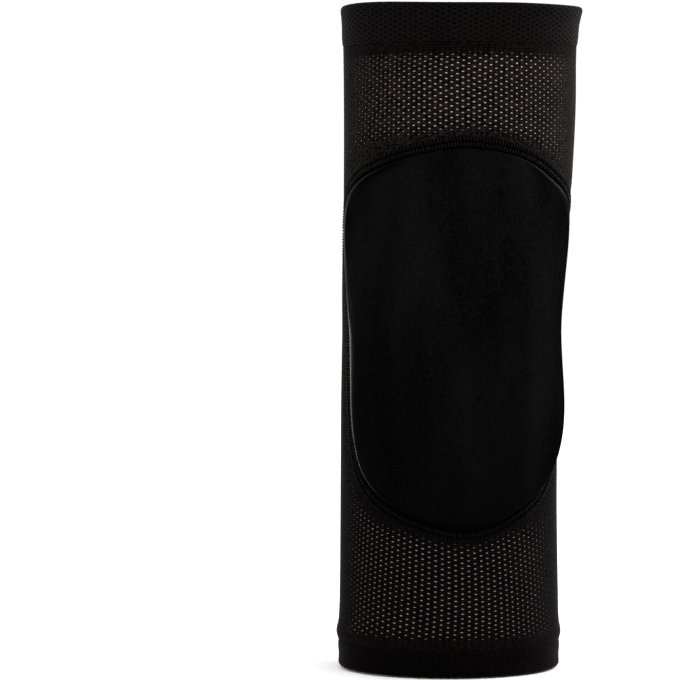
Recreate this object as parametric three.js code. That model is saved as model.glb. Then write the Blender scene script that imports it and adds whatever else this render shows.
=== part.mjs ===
// Padded elbow sleeve: a mesh tube with two folded hems and a foam pad sewn on over the elbow.
// Millimetres. +Z runs up the arm, the pad faces -Y, and the origin is on the arm's axis behind
// the middle of the pad. Angles round the arm start at -Y and turn towards +X.

import * as THREE from 'three';

// Driving dimensions
const WALL = 1.5; // one layer of mesh
const GAP = 0.3; // clearance between pieces that touch
const TUBE_TOP = 115.6; // where the tube meets the top hem
const TUBE_BOTTOM = -118.6; // where the tube meets the bottom hem
const COLUMNS = 40; // facets round the arm

// Outside of the sleeve, a row for each level
const SLEEVE_SECTIONS = [
  // z, half width, half depth, reach of the front from the axis, sideways lean
  [131.5, 47.8, 46.9, 40.1, 5.9],
  [124.0, 46.8, 46.2, 39.8, 5.3],
  [114.0, 46.2, 45.9, 39.8, 5.0],
  [93.0, 46.0, 45.8, 39.8, 5.0],
  [75.0, 45.6, 45.5, 39.8, 4.6],
  [55.0, 45.0, 45.0, 39.7, 3.8],
  [35.0, 43.9, 44.2, 39.3, 2.2],
  [18.0, 42.8, 42.0, 38.9, 0.8],
  [4.0, 42.2, 39.2, 38.5, 0.0],
  [-9.0, 42.3, 37.1, 38.2, -0.3],
  [-26.0, 42.8, 35.6, 37.9, -0.2],
  [-68.0, 43.0, 37.1, 37.9, -0.1],
  [-100.0, 43.4, 37.7, 37.9, 0.1],
  [-110.5, 43.8, 38.2, 37.9, 0.1],
  [-115.5, 44.6, 39.4, 38.6, 0.1],
  [-119.5, 43.7, 38.4, 38.1, 0.1],
  [-129.3, 43.4, 38.3, 38.1, 0.1],
].map(([z, halfWidth, halfDepth, reach, lean]) => ({ z, halfWidth, halfDepth, reach, lean }));

// Levels of the rings of the tube's wall
const TUBE_LEVELS = [
  TUBE_TOP, 104, 92, 80, 68, 56, 46, 37, 28, 20, 12, 4, -4, -13, -26, -40, -54, -68, -84, -100,
  -108, -112.5, -115.5, TUBE_BOTTOM,
];

// Folded hems
const TOP_HEM_HEIGHT = 15.6; // from the stitch line to the rim
const BOTTOM_HEM_HEIGHT = 10.7;
const HEM_INSIDE = -3.1; // inner face of the turned-in layer, from the outside
const HEM_LAP = 3.0; // length of the turned-in layer behind the tube
const HEM_LAP_FACE = -(WALL + GAP); // that lap's face towards the tube
const HEM_FOLD = 1.6; // height of the rounded fold at the rim
const FOLD_STEPS = 4;
const HEM_SWELL = [
  // share of the hem's height, offset from the outside
  [0.2, 0.4],
  [0.55, 0.25],
];

// Pad outlines on the unrolled cloth, right half from the top down
const CLOTH_RADIUS = 42.5; // radius at which the cloth is unrolled
const SEAM_OUTLINE = [
  // distance from the pad's middle line, z
  [0, 80.5],
  [20.8, 77.3],
  [40, 70.5],
  [58, 59.5],
  [67, 45],
  [64, 27],
  [59.5, 5],
  [56.5, -20],
  [53.5, -38],
  [46.5, -53],
  [34, -65.5],
  [16, -74.5],
  [0, -77.5],
];
const RIDGE_OUTLINE = [
  // distance from the pad's middle line, z
  [0, 69.5],
  [18, 66.5],
  [31, 61],
  [41, 53],
  [46, 41],
  [45.5, 27],
  [44.5, 5],
  [43.5, -20],
  [40, -36],
  [29, -50],
  [14, -58],
  [0, -60],
];
const PAD_MIDDLE_TOP = 1.6; // sideways place of the pad's middle line at its upper end
const PAD_MIDDLE_BOTTOM = 4.0; // and at its lower end
const PAD_HALF_LENGTH = 80;
const PAD_CENTRE_Z = 4; // the rings of the pad's face close in on this level
const PAD_THICKNESS = 8.0;
const PAD_CROWN = 1.7; // how much thinner the pad is at the sides of its ridge
const PAD_HALF_WIDTH = 46; // at the widest place of the ridge
const PAD_PUFF = 1.4; // the slopes above and below the face swell out this far
const COVER = 1.3; // thickness of the cover where it meets the seam
const SEAM_WIDTH = 5.2;
const SEAM_PROFILE = [
  // share of the band's width from its outer edge, height
  [0, 0],
  [0, 0.6],
  [0.3, 1.1],
  [0.7, 1.1],
  [1, 0.6],
  [1, 0],
  [0.5, 0],
];
const PAD_COLUMNS = 60;
const SEAM_COLUMNS = 64;
const SLOPE_STEPS = [0, 0.12, 0.3, 0.52, 0.76]; // share of the way from the seam up to the ridge
const FACE_STEPS = [1, 0.86, 0.72, 0.58, 0.44, 0.3, 0.15]; // share of the ridge outline
const UNDERSIDE_STEPS = [1, 0.9, 0.8, 0.7, 0.6, 0.5, 0.4, 0.3, 0.2, 0.1]; // share of the cover's outline

// A smooth value between the rows of a table, by a cubic through each pair of neighbours
function smoothValue(rows, z, column) {
  const last = rows.length - 2;
  let i = 0;
  while (i < last && z < rows[i + 1].z) i += 1;
  const slope = (k) => {
    const above = rows[Math.max(k - 1, 0)];
    const below = rows[Math.min(k + 1, rows.length - 1)];
    return (below[column] - above[column]) / (below.z - above.z);
  };
  const step = rows[i + 1].z - rows[i].z;
  const t = THREE.MathUtils.clamp((z - rows[i].z) / step, 0, 1);
  const rise = t * t * (3 - 2 * t);
  const start = t * (1 - t) * (1 - t) * step * slope(i);
  const end = t * t * (t - 1) * step * slope(i + 1);
  return THREE.MathUtils.lerp(rows[i][column], rows[i + 1][column], rise) + start + end;
}

// The sleeve's section at a level
function sectionAt(z) {
  const halfWidth = smoothValue(SLEEVE_SECTIONS, z, 'halfWidth');
  const halfDepth = smoothValue(SLEEVE_SECTIONS, z, 'halfDepth');
  const lean = smoothValue(SLEEVE_SECTIONS, z, 'lean');
  const reach = smoothValue(SLEEVE_SECTIONS, z, 'reach');
  return { halfWidth, halfDepth, lean, centreY: halfDepth - reach };
}

// A point at a level and an angle, moved out from the sleeve's outside by an offset
function sleevePoint(angle, z, offset) {
  const { halfWidth, halfDepth, lean, centreY } = sectionAt(z);
  const across = Math.sin(angle);
  const forward = Math.cos(angle);
  const normal = new THREE.Vector2(across / halfWidth, -forward / halfDepth).normalize();
  return new THREE.Vector3(
    lean + halfWidth * across + normal.x * offset,
    centreY - halfDepth * forward + normal.y * offset,
    z,
  );
}

// A point of the pad's cloth, from its place on the unrolled cloth and its height above the sleeve
function padPoint({ x: across, y: z }, height) {
  const { halfWidth, lean } = sectionAt(z);
  const share = 0.5 + z / (2 * PAD_HALF_LENGTH);
  const middle = THREE.MathUtils.lerp(PAD_MIDDLE_BOTTOM, PAD_MIDDLE_TOP, share);
  const turn = Math.asin((middle - lean) / halfWidth);
  return sleevePoint(turn + across / CLOTH_RADIUS, z, GAP + height);
}

// A closed solid from rings of equal length, each joined to the next
function ringSolid(rings, closed) {
  const count = rings[0].length;
  const positions = rings.flat().flatMap((p) => [p.x, p.y, p.z]);
  const faces = [];
  const last = closed ? rings.length : rings.length - 1;
  for (let i = 0; i < last; i += 1) {
    const here = i * count;
    const next = ((i + 1) % rings.length) * count;
    for (let j = 0; j < count; j += 1) {
      const k = (j + 1) % count;
      faces.push([here + j, here + k, next + k], [here + j, next + k, next + j]);
    }
  }
  if (!closed) {
    capRing(positions, faces, rings[0], 0, true);
    capRing(positions, faces, rings.at(-1), last * count, false);
  }
  return facingOut(positions, faces);
}

// A fan over a ring, round the middle of its points
function capRing(positions, faces, ring, first, atStart) {
  const middle = new THREE.Vector3();
  ring.forEach((p) => middle.addScaledVector(p, 1 / ring.length));
  const centre = positions.length / 3;
  positions.push(middle.x, middle.y, middle.z);
  for (let j = 0; j < ring.length; j += 1) {
    const k = (j + 1) % ring.length;
    faces.push(atStart ? [first + k, first + j, centre] : [first + j, first + k, centre]);
  }
}

// A geometry whose faces point out, whichever way round the rings were
function facingOut(positions, faces) {
  const at = (i) => new THREE.Vector3().fromArray(positions, 3 * i);
  const volume = faces.reduce((sum, [a, b, c]) => sum + at(a).dot(at(b).cross(at(c))), 0);
  const index = faces.flatMap(([a, b, c]) => (volume > 0 ? [a, b, c] : [a, c, b]));
  const geometry = new THREE.BufferGeometry();
  geometry.setAttribute('position', new THREE.Float32BufferAttribute(positions, 3));
  geometry.setIndex(index);
  geometry.computeVertexNormals();
  return geometry;
}

// A band round the whole arm, from a closed profile of levels and offsets
function armBand(profile) {
  const rings = profile.map(([z, offset]) =>
    Array.from({ length: COLUMNS }, (_, j) => sleevePoint((2 * Math.PI * j) / COLUMNS, z, offset)),
  );
  return ringSolid(rings, true);
}

// The hollow tube of mesh
function meshSleeve() {
  const outside = TUBE_LEVELS.map((z) => [z, 0]);
  const inside = TUBE_LEVELS.map((z) => [z, -WALL]).reverse();
  return armBand([...outside, ...inside]);
}

// A folded hem: up the outside from the stitch line, over the fold, down the inside and behind the tube
function foldedHem(stitchLine, height, up) {
  const outside = [[GAP, 0], ...HEM_SWELL.map(([share, offset]) => [share * height, offset])];
  const fold = Array.from({ length: FOLD_STEPS + 1 }, (_, k) => {
    const turn = (Math.PI * k) / FOLD_STEPS;
    return [height - HEM_FOLD * (1 - Math.sin(turn)), (HEM_INSIDE / 2) * (1 - Math.cos(turn))];
  });
  const lap = [
    [-HEM_LAP, HEM_INSIDE],
    [-HEM_LAP, HEM_LAP_FACE],
    [GAP, HEM_LAP_FACE],
  ];
  const profile = [...outside, ...fold, ...lap];
  return armBand(profile.map(([rise, offset]) => [stitchLine + up * rise, offset]));
}

// A closed outline on the unrolled cloth from its right half, as evenly spaced points
function clothOutline(rightHalf, count) {
  const right = rightHalf.map(([across, z]) => new THREE.Vector3(across, z, 0));
  const left = right.slice(1, -1).reverse().map((p) => new THREE.Vector3(-p.x, p.y, 0));
  const curve = new THREE.CatmullRomCurve3([...right, ...left], true, 'centripetal');
  return curve.getSpacedPoints(count).slice(0, count);
}

// An outline moved inwards over the cloth
function movedIn(outline, distance) {
  const count = outline.length;
  return outline.map((p, j) => {
    const along = outline[(j + 1) % count].clone().sub(outline[(j + count - 1) % count]).normalize();
    return new THREE.Vector3(p.x + along.y * distance, p.y - along.x * distance, 0);
  });
}

// The foam's thickness at a place on the unrolled cloth
function foamHeight(place) {
  return PAD_THICKNESS - PAD_CROWN * (place.x / PAD_HALF_WIDTH) ** 2;
}

// The foam pad under its cover: the cover stretches straight from the seam up to the ridge at the
// sides and swells above and below, the face follows the arm, and the underside lies on the mesh
function elbowPad() {
  const foot = movedIn(clothOutline(SEAM_OUTLINE, PAD_COLUMNS), SEAM_WIDTH + GAP);
  const ridge = clothOutline(RIDGE_OUTLINE, PAD_COLUMNS);
  const centre = new THREE.Vector3(0, PAD_CENTRE_Z, 0);
  const slope = SLOPE_STEPS.map((share) =>
    foot.map((p, j) => {
      const level = Math.abs(ridge[j].y - p.y) / ridge[j].distanceTo(p);
      const swell = PAD_PUFF * level ** 2 * Math.sin(share * Math.PI);
      return padPoint(p, COVER + swell).lerp(padPoint(ridge[j], foamHeight(ridge[j]) + swell), share);
    }),
  );
  const face = FACE_STEPS.map((share) =>
    ridge.map((p) => {
      const place = centre.clone().lerp(p, share);
      return padPoint(place, foamHeight(place));
    }),
  );
  const underside = UNDERSIDE_STEPS.map((share) =>
    foot.map((p) => padPoint(centre.clone().lerp(p, share), 0)),
  );
  return ringSolid([...underside.reverse(), ...slope, ...face], false);
}

// The flat stitched seam band round the pad
function padSeam() {
  const outline = clothOutline(SEAM_OUTLINE, SEAM_COLUMNS);
  const rings = SEAM_PROFILE.map(([share, height]) =>
    movedIn(outline, share * SEAM_WIDTH).map((p) => padPoint(p, height)),
  );
  return ringSolid(rings, true);
}

// A named piece of cloth with its own material
function clothPiece(name, geometry, color, roughness) {
  const material = new THREE.MeshStandardMaterial({ color, roughness, metalness: 0 });
  const piece = new THREE.Mesh(geometry, material);
  piece.name = name;
  return piece;
}

const sleeve = new THREE.Group();
sleeve.add(
  clothPiece('mesh_sleeve', meshSleeve(), 0x241e1e, 0.8),
  clothPiece('top_hem', foldedHem(TUBE_TOP, TOP_HEM_HEIGHT, 1), 0x1a1516, 0.85),
  clothPiece('bottom_hem', foldedHem(TUBE_BOTTOM, BOTTOM_HEM_HEIGHT, -1), 0x120f0f, 0.85),
  clothPiece('elbow_pad', elbowPad(), 0x0d0d0d, 0.7),
  clothPiece('pad_seam', padSeam(), 0x1c1c20, 0.75),
);

export default sleeve;
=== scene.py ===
"""Dress the padded elbow sleeve: pierced mesh cloth, folded hems, padded cover, seam, light and camera.

Lengths in the tables are millimetres in the part's own frame: +Z runs up the arm, the pad faces -Y, and
angles round the arm count from -Y towards +X. Meshes are written in metres.
"""
import math

import bmesh
import bpy
import numpy as np
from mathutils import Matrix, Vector


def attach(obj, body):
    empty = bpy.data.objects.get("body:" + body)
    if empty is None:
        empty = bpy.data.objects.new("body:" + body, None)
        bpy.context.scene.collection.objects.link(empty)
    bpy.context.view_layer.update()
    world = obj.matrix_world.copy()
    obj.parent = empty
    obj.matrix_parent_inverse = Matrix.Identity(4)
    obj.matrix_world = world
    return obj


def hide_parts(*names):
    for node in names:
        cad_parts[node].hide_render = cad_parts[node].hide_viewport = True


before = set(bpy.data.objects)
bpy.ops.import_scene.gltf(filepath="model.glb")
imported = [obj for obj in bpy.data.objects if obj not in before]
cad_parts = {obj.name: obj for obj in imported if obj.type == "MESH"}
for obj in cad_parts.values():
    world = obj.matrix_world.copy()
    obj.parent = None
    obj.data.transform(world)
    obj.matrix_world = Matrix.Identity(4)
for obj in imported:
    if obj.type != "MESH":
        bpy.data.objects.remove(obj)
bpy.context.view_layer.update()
scene = bpy.context.scene

MM = 0.001
TURN = 2 * math.pi
SEED = 11

# Tube sections from the upper arm down to the forearm.
# z, half width, half depth, reach of the front from the axis, lean to +X
SECTIONS = np.array((
    (131.5, 47.8, 46.9, 40.1, 5.9),
    (124.0, 46.8, 46.2, 39.8, 5.3),
    (114.0, 46.2, 45.9, 39.8, 5.0),
    (93.0, 46.0, 45.8, 39.8, 5.0),
    (75.0, 45.6, 45.5, 39.8, 4.6),
    (55.0, 45.0, 45.0, 39.7, 3.8),
    (35.0, 43.9, 44.2, 39.3, 2.2),
    (18.0, 42.8, 42.0, 38.9, 0.8),
    (4.0, 42.2, 39.2, 38.5, 0.0),
    (-9.0, 42.3, 37.1, 38.2, -0.3),
    (-26.0, 42.8, 35.6, 37.9, -0.2),
    (-68.0, 43.0, 37.1, 37.9, -0.1),
    (-100.0, 43.4, 37.7, 37.9, 0.1),
    (-110.5, 43.8, 38.2, 37.9, 0.1),
    (-115.5, 44.6, 39.4, 38.6, 0.1),
    (-119.5, 43.7, 38.4, 38.1, 0.1),
    (-129.3, 43.4, 38.3, 38.1, 0.1),
))[::-1]
HALF_WIDTH, HALF_DEPTH, REACH, LEAN = range(1, 5)
TUBE_TOP = 115.6
TUBE_BOTTOM = -118.6
WALL = 1.5
GAP = 0.3

# Mesh cloth: staggered rows of small oval holes, counted in cells round the arm and rows down it.
CELLS = 60
ROWS = 220
SPLIT_ROW = 110
TOP_ROW_STEP = 1.14
HOLE_HALF_TOP = (0.132, 0.175)
HOLE_HALF_BOTTOM = (0.108, 0.163)
TOP_HEM_HOLES = 1.45
BOTTOM_HEM_HOLES = 0.8
SPREAD_TOP = 0.13
SPREAD_BOTTOM = -0.20
CELL_LENGTH = 4.7
ROW_LENGTH = 1.065
WEB = 0.34
WEB_GAP = 0.03
HOLES_UNDER_SEAM = 1.2
RIM_ROWS = 0.4
# Slow waves of the rows: size, waves round the arm, height for one radian, phase.
ROW_RIPPLES = ((1.3, 2, 38, 0.0), (0.8, 3, -27, 1.1))
ROW_DRIFT = ((0.012, 2, 21, 0.0),)
RIPPLE_FADE = 15.0

# Pale ground behind the holes and the shade on it; a pair tells between which places a shade changes.
GROUND_COLUMNS = 128
GROUND_LEVELS = 124
SEAM_SHADE = (0.0, 3.5)
TOP_SHADE = (3.6, 6.4)
BOTTOM_SHADE = (3.6, 6.0)
SHADE_MARGIN = 0.6
SHADE_MARGIN_TOP = 1.4
MARGIN_RISE = (40, 70)
# Places beside the seam with more shade: side, end of the arm, further margin.
SHADE_PATCHES = ((-1, 1, 3.0), (-1, -1, 3.2), (1, -1, 4.5), (1, 1, 0.6))
PATCH_ASIDE = (15, 42)
PATCH_END = (20, 55)
LOW_LIGHT = 0.78
LOW_LIGHT_RISE = (-60, 60)
# Shade at the left of the upper end: its share, the angles where it comes in and goes, the heights.
SIDE_SHADE = 0.38
SIDE_SHADE_IN = (0.3, 1.0)
SIDE_SHADE_OUT = (1.2, 1.7)
SIDE_SHADE_RISE = (0, 60)

# Folded hems.
TOP_HEM_HEIGHT = 15.6
BOTTOM_HEM_HEIGHT = 10.7
HEM_INSIDE = -3.1
HEM_LAP = 3.0
HEM_SWELL = 0.4
TOP_HEM_ROWS = 44
BOTTOM_HEM_ROWS = 34
HEM_DIMPLE = 0.5
FOLD_STEPS = 7
SLOPE_STEP = 0.3
# Outside of a hem below its fold: share of its height, offset.
HEM_FLARE = ((0.55, 0.25), (0.25, 0.4), (0.10, 0.3))
TOP_HEM_WAVE = 1.0
BOTTOM_HEM_WAVE = 0.25
# Lift of a hem's rim: its mean, and its waves with columns as in ROW_RIPPLES.
RIM_LIFT = 0.1
RIM_WAVES = ((-0.5, 2, math.inf, math.pi / 2), (-0.35, 1, math.inf, 0.0), (0.12, 5, math.inf, 0.0))

# Pad and its seam: outlines on the unrolled cloth, clockwise from the top.
CLOTH_RADIUS = 42.5
# distance round the arm, height
SEAM_OUTLINE = (
    (-2, 79.5), (13, 78), (25.5, 74.5), (37, 68.8), (56.3, 58), (66.1, 45), (64.4, 27), (60.2, 5),
    (57.2, -20), (52, -38), (44.6, -51), (33.7, -62.3), (20, -70.5), (6.1, -76.2), (-3, -77.2), (-12, -76),
    (-27.5, -71), (-42, -63), (-51.5, -53), (-57, -38), (-59.5, -20), (-61.5, 5), (-65, 27), (-67, 45),
    (-61, 59), (-48.5, 67.6), (-36, 72.1), (-20, 76.6),
)
RIDGE_OUTLINE = (
    (-4, 68.5), (10, 67), (20.5, 63.5), (32, 56.6), (38.6, 50.6), (43, 42), (44, 29), (43.2, 5), (42.5, -20),
    (39, -34), (30, -47), (17, -56), (-4, -60), (-21, -56), (-32.6, -46), (-40.4, -33.6), (-44.2, -20),
    (-45, 3), (-47.4, 17), (-50.2, 30), (-51, 43), (-47, 52.4), (-36, 60), (-21, 66),
)
# Slope from the seam up to the ridge: height on the arm, roundness, gap to the seam.
SLOPE_SHAPE = np.array((
    (-75, 1.0, 1.2), (-60, 1.0, 2.0), (-45, 0.8, 2.2), (-28, 0.45, 1.0), (-10, 0.2, 0.4), (20, 0.05, 0.2),
    (50, 0.05, 0.3), (60, 0.1, 1.1), (69, 0.3, 1.1), (77, 0.55, 0.2),
))
ROUNDNESS, SEAM_GAP = 1, 2
PAD_MIDDLE_TOP = 1.6
PAD_MIDDLE_BOTTOM = 4.0
PAD_HALF_LENGTH = 80
PAD_LINE_END = 120
PAD_THICKNESS = 8.3
CROWN_REACH = 46
# Change of the pad's height from its middle to its ridge: height on the arm, change.
PAD_CROWN = np.array(((-60, -1.4), (-32, -2.1), (-12, -2.9), (8, -3.7), (30, -3.8), (46, -3.7), (70, -1.8)))
COVER = 1.0
CURVE_STEPS = 24
PAD_COLUMNS = 96
SLOPE_RINGS = 8
FACE_RINGS = 6
FACE_INNER = 0.55
PAD_CENTRE = (-2.0, 3.0)
UNDER_SCALE = 0.92
CREASE = 0.7
CREASE_FROM = 30
CREASE_LOW = 22
CREASE_HIGH = 62
PAD_SWELL_CAP = 0.9
SWELL_STEPS = 20
SWELL_SETTINGS = {
    "quality": 6, "mass": 0.15, "tension_stiffness": 15, "compression_stiffness": 15, "shear_stiffness": 5,
    "bending_stiffness": 0.5, "use_pressure": True, "uniform_pressure_force": 3.0,
}
# Sides of the cover with painted sheen, a painted highlight where light catches them: sign of the side,
# distances round the arm and heights where the sheen comes in, heights where it drops, and the share left
# above those.
PAINTED_SHEEN_SIDES = (
    (-1, (28, 46), (-68, -48), (-2, 24), 0.12),
    (1, (14, 30), (54, 61), (38, 46), 0.3),
)
PAINTED_SHEEN_AT_RIDGE = 0.7
# Stretched, ribbed sides of the cover, also lighter as painted light where light catches them: distances
# round the arm, heights where they come in and go, and the slope.
LIT_STRETCH_ASIDE = (26, 38)
LIT_STRETCH_IN = (-60, 10)
LIT_STRETCH_OUT = (44, 54)
LIT_STRETCH_SLOPE = (0.5, 1.0)
# Shade under the lower end and the upper corners: shares of the slope, heights, distances round the arm.
LOW_SHADE_SLOPE = (0.1, 0.45)
LOW_SHADE_DROP = (25, 45)
CORNER_SHADE_SLOPE = (0.4, 1.0)
CORNER_SHADE_RISE = (47, 56)
CORNER_SHADE_ASIDE = (20, 36)
SEAM_WIDTH = 4.4
SEAM_DENT = 0.8
DENT_REACH = 4.0


def cubic(t, start, leave, end, arrive):
    """Cubic between two values with a slope at each, at a share of the way."""
    return (
        start * (2 * t**3 - 3 * t**2 + 1)
        + leave * (t**3 - 2 * t**2 + t)
        + end * (3 * t**2 - 2 * t**3)
        + arrive * (t**3 - t**2)
    )


def smooth_value(z, column):
    """Read one column of the tube sections at any height, on a smooth curve."""
    levels, values = SECTIONS[:, 0], SECTIONS[:, column]
    level_ends, value_ends = np.pad(levels, 1, "edge"), np.pad(values, 1, "edge")
    slopes = (value_ends[2:] - value_ends[:-2]) / (level_ends[2:] - level_ends[:-2])
    low = np.clip(np.searchsorted(levels, z) - 1, 0, len(levels) - 2)
    step = levels[low + 1] - levels[low]
    t = np.clip((z - levels[low]) / step, 0, 1)
    return cubic(t, values[low], slopes[low] * step, values[low + 1], slopes[low + 1] * step)


def smooth_step(value, low, high):
    """Ease from 0 at low to 1 at high."""
    t = np.clip((value - low) / (high - low), 0, 1)
    return t * t * (3 - 2 * t)


def half_turns(angle):
    """Angle brought to within half a turn of the front."""
    return (angle + math.pi) % TURN - math.pi


def waves(table, angle, z):
    """Sum of the waves of a table at an angle and height."""
    return sum(size * np.sin(number * angle + z / height + phase) for size, number, height, phase in table)


def rows_of(*columns):
    """Rows put together from columns."""
    return np.stack(columns, axis=-1)


def travelled(loop):
    """Distance along a line of points up to each of them."""
    return np.concatenate(([0], np.cumsum(np.linalg.norm(np.diff(loop, axis=0), axis=1))))


def places_along(loop, travel, at):
    """Places on a line of points at distances along it."""
    return rows_of(*(np.interp(at, travel, axis) for axis in loop.T))


def unit(vectors):
    """Vectors brought to a length of 1."""
    return vectors / np.linalg.norm(vectors, axis=1, keepdims=True)


def sleeve_point(angle, z, offset):
    """Point of the tube's surface at an angle and height, moved out by an offset."""
    half_width = smooth_value(z, HALF_WIDTH)
    half_depth = smooth_value(z, HALF_DEPTH)
    centre_y = half_depth - smooth_value(z, REACH)
    out_x = np.sin(angle) / half_width
    out_y = -np.cos(angle) / half_depth
    length = np.hypot(out_x, out_y)
    x = smooth_value(z, LEAN) + half_width * np.sin(angle) + offset * out_x / length
    y = centre_y - half_depth * np.cos(angle) + offset * out_y / length
    return rows_of(*np.broadcast_arrays(x, y, z))


def pad_turn(z):
    """Angle of the pad's middle line at a height."""
    share = 0.5 + z / (2 * PAD_HALF_LENGTH)
    middle = PAD_MIDDLE_BOTTOM + (PAD_MIDDLE_TOP - PAD_MIDDLE_BOTTOM) * share
    return np.arcsin((middle - smooth_value(z, LEAN)) / smooth_value(z, HALF_WIDTH))


def pad_point(across, z, height):
    """Point over the tube at a distance round the arm from the pad's middle line."""
    return sleeve_point(pad_turn(z) + across / CLOTH_RADIUS, z, GAP + height)


def closed_curve(outline, count):
    """Smooth closed curve through an outline, as points evenly spaced down each side to its lowest place."""
    knots = np.array(outline, float)
    spans = np.sqrt(np.linalg.norm(np.roll(knots, -1, 0) - knots, axis=1))
    fine = []
    steps = np.linspace(0, 1, CURVE_STEPS, endpoint=False)[:, None]
    for i in range(len(knots)):
        before, start, end, after = (knots[(i + k) % len(knots)] for k in (-1, 0, 1, 2))
        d0, d1, d2 = (spans[(i + k) % len(knots)] for k in (-1, 0, 1))
        leave = ((start - before) / d0 - (end - before) / (d0 + d1) + (end - start) / d1) * d1
        arrive = ((end - start) / d1 - (after - start) / (d1 + d2) + (after - end) / d2) * d1
        fine.append(cubic(steps, start, leave, end, arrive))
    loop = np.concatenate(fine + [fine[0][:1]])
    travel = travelled(loop)
    lowest = travel[loop[:, 1].argmin()]
    wanted = np.interp(np.arange(count), (0, count / 2, count), (0, lowest, travel[-1]))
    return places_along(loop, travel, wanted)


def slope_shape(points, column):
    """Column of the slope table at points of an outline."""
    return np.interp(points[:, 1], SLOPE_SHAPE[:, 0], SLOPE_SHAPE[:, column])[:, None]


def moved_in(points, distance):
    """Outline moved towards its inside by one distance or by one for each point."""
    along = unit(np.roll(points, -1, 0) - np.roll(points, 1, 0))
    return points + rows_of(along[:, 1], -along[:, 0]) * distance


def signed_distance(spots, edge_points):
    """Distance of flat spots from an outline, negative inside it."""
    best = np.full(len(spots), np.inf)
    inside = np.zeros(len(spots), bool)
    for a, b in zip(edge_points, np.roll(edge_points, -1, 0)):
        edge = b - a
        t = np.clip((spots - a) @ edge / (edge @ edge), 0, 1)
        best = np.minimum(best, np.linalg.norm(spots - a - t[:, None] * edge, axis=1))
        crosses = (a[1] > spots[:, 1]) != (b[1] > spots[:, 1])
        if edge[1]:
            meet = a[0] + (spots[:, 1] - a[1]) / edge[1] * edge[0]
            inside ^= crosses & (spots[:, 0] < meet)
    return np.where(inside, -best, best)


SEAM_EDGE = closed_curve(SEAM_OUTLINE, PAD_COLUMNS)


def beyond_seam(angle, z):
    """Distance outside the seam's outer edge of places on the tube, negative under the pad."""
    across = (angle - pad_turn(np.clip(z, -PAD_LINE_END, PAD_LINE_END))) * CLOTH_RADIUS
    return signed_distance(rows_of(across, z), SEAM_EDGE)


def seam_dent(angle, z):
    """Depth by which the seam draws the cloth in, at places on the tube."""
    away = beyond_seam(half_turns(angle), z)
    off_band = np.maximum(away, 0) + np.maximum(-away - SEAM_WIDTH, 0)
    return SEAM_DENT * np.exp(-(off_band / DENT_REACH) ** 2)


def add_object(name, data):
    """Object with its data, put in the scene."""
    made = bpy.data.objects.new(name, data)
    scene.collection.objects.link(made)
    return made


def add_coords(mesh, name, coords):
    """Store flat coordinates for every face corner."""
    layer = mesh.uv_layers.new(name=name)
    layer.data.foreach_set("uv", np.asarray(coords, np.float32).ravel())


def mark(piece, name, values, domain="POINT"):
    """Store a number for every point or edge."""
    layer = piece.data.attributes.new(name, "FLOAT", domain)
    layer.data.foreach_set("value", values.astype(np.float32))


def use_second_material(piece, first, end=None):
    """Give a run of faces the second of the piece's materials."""
    for face in piece.data.polygons[first:end]:
        face.material_index = 1


def make_piece(name, points, faces, cloth_uv=None, bake_uv=None, sharp=50):
    """Mesh object from points in millimetres, with the cloth's own coordinates on its faces."""
    mesh = bpy.data.meshes.new(name)
    mesh.from_pydata((np.asarray(points) * MM).tolist(), [], [list(f) for f in faces])
    for layer_name, coords in (("cloth", cloth_uv), ("OFBake", bake_uv)):
        if coords is not None:
            add_coords(mesh, layer_name, coords)
    mesh.shade_smooth()
    mesh.set_sharp_from_angle(angle=math.radians(sharp))
    mesh.validate()
    return add_object(name, mesh)


# Pierced cloth

SIDES = 6
RIGHT, UPPER_RIGHT, UPPER_LEFT, LEFT, LOWER_LEFT, LOWER_RIGHT = range(SIDES)
# Corners of a hole in turn: across and down, in half sizes.
CORNERS = np.array(((1, 0), (0.53, -1), (-0.53, -1), (-1, 0), (-0.53, 1), (0.53, 1)))
# Quads that each hole brings, as four corners: rows on, columns on, corner.
BESIDE = (
    ((0, 0, UPPER_RIGHT), (0, 0, RIGHT), (0, 1, LEFT), (0, 1, UPPER_LEFT)),
    ((0, 0, RIGHT), (0, 0, LOWER_RIGHT), (0, 1, LOWER_LEFT), (0, 1, LEFT)),
)
BELOW = (
    ((0, 0, LOWER_LEFT), (1, -1, UPPER_RIGHT), (1, 0, UPPER_LEFT), (0, 0, LOWER_RIGHT)),
    ((0, 0, LOWER_RIGHT), (1, 0, UPPER_LEFT), (1, 0, UPPER_RIGHT), (0, 1, LOWER_LEFT)),
)
CAP = (
    ((0, 0, UPPER_LEFT), (0, 0, LEFT), (0, 0, RIGHT), (0, 0, UPPER_RIGHT)),
    ((0, 0, LEFT), (0, 0, LOWER_LEFT), (0, 0, LOWER_RIGHT), (0, 0, RIGHT)),
)
FLOOR_SCALE = 0.5


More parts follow.
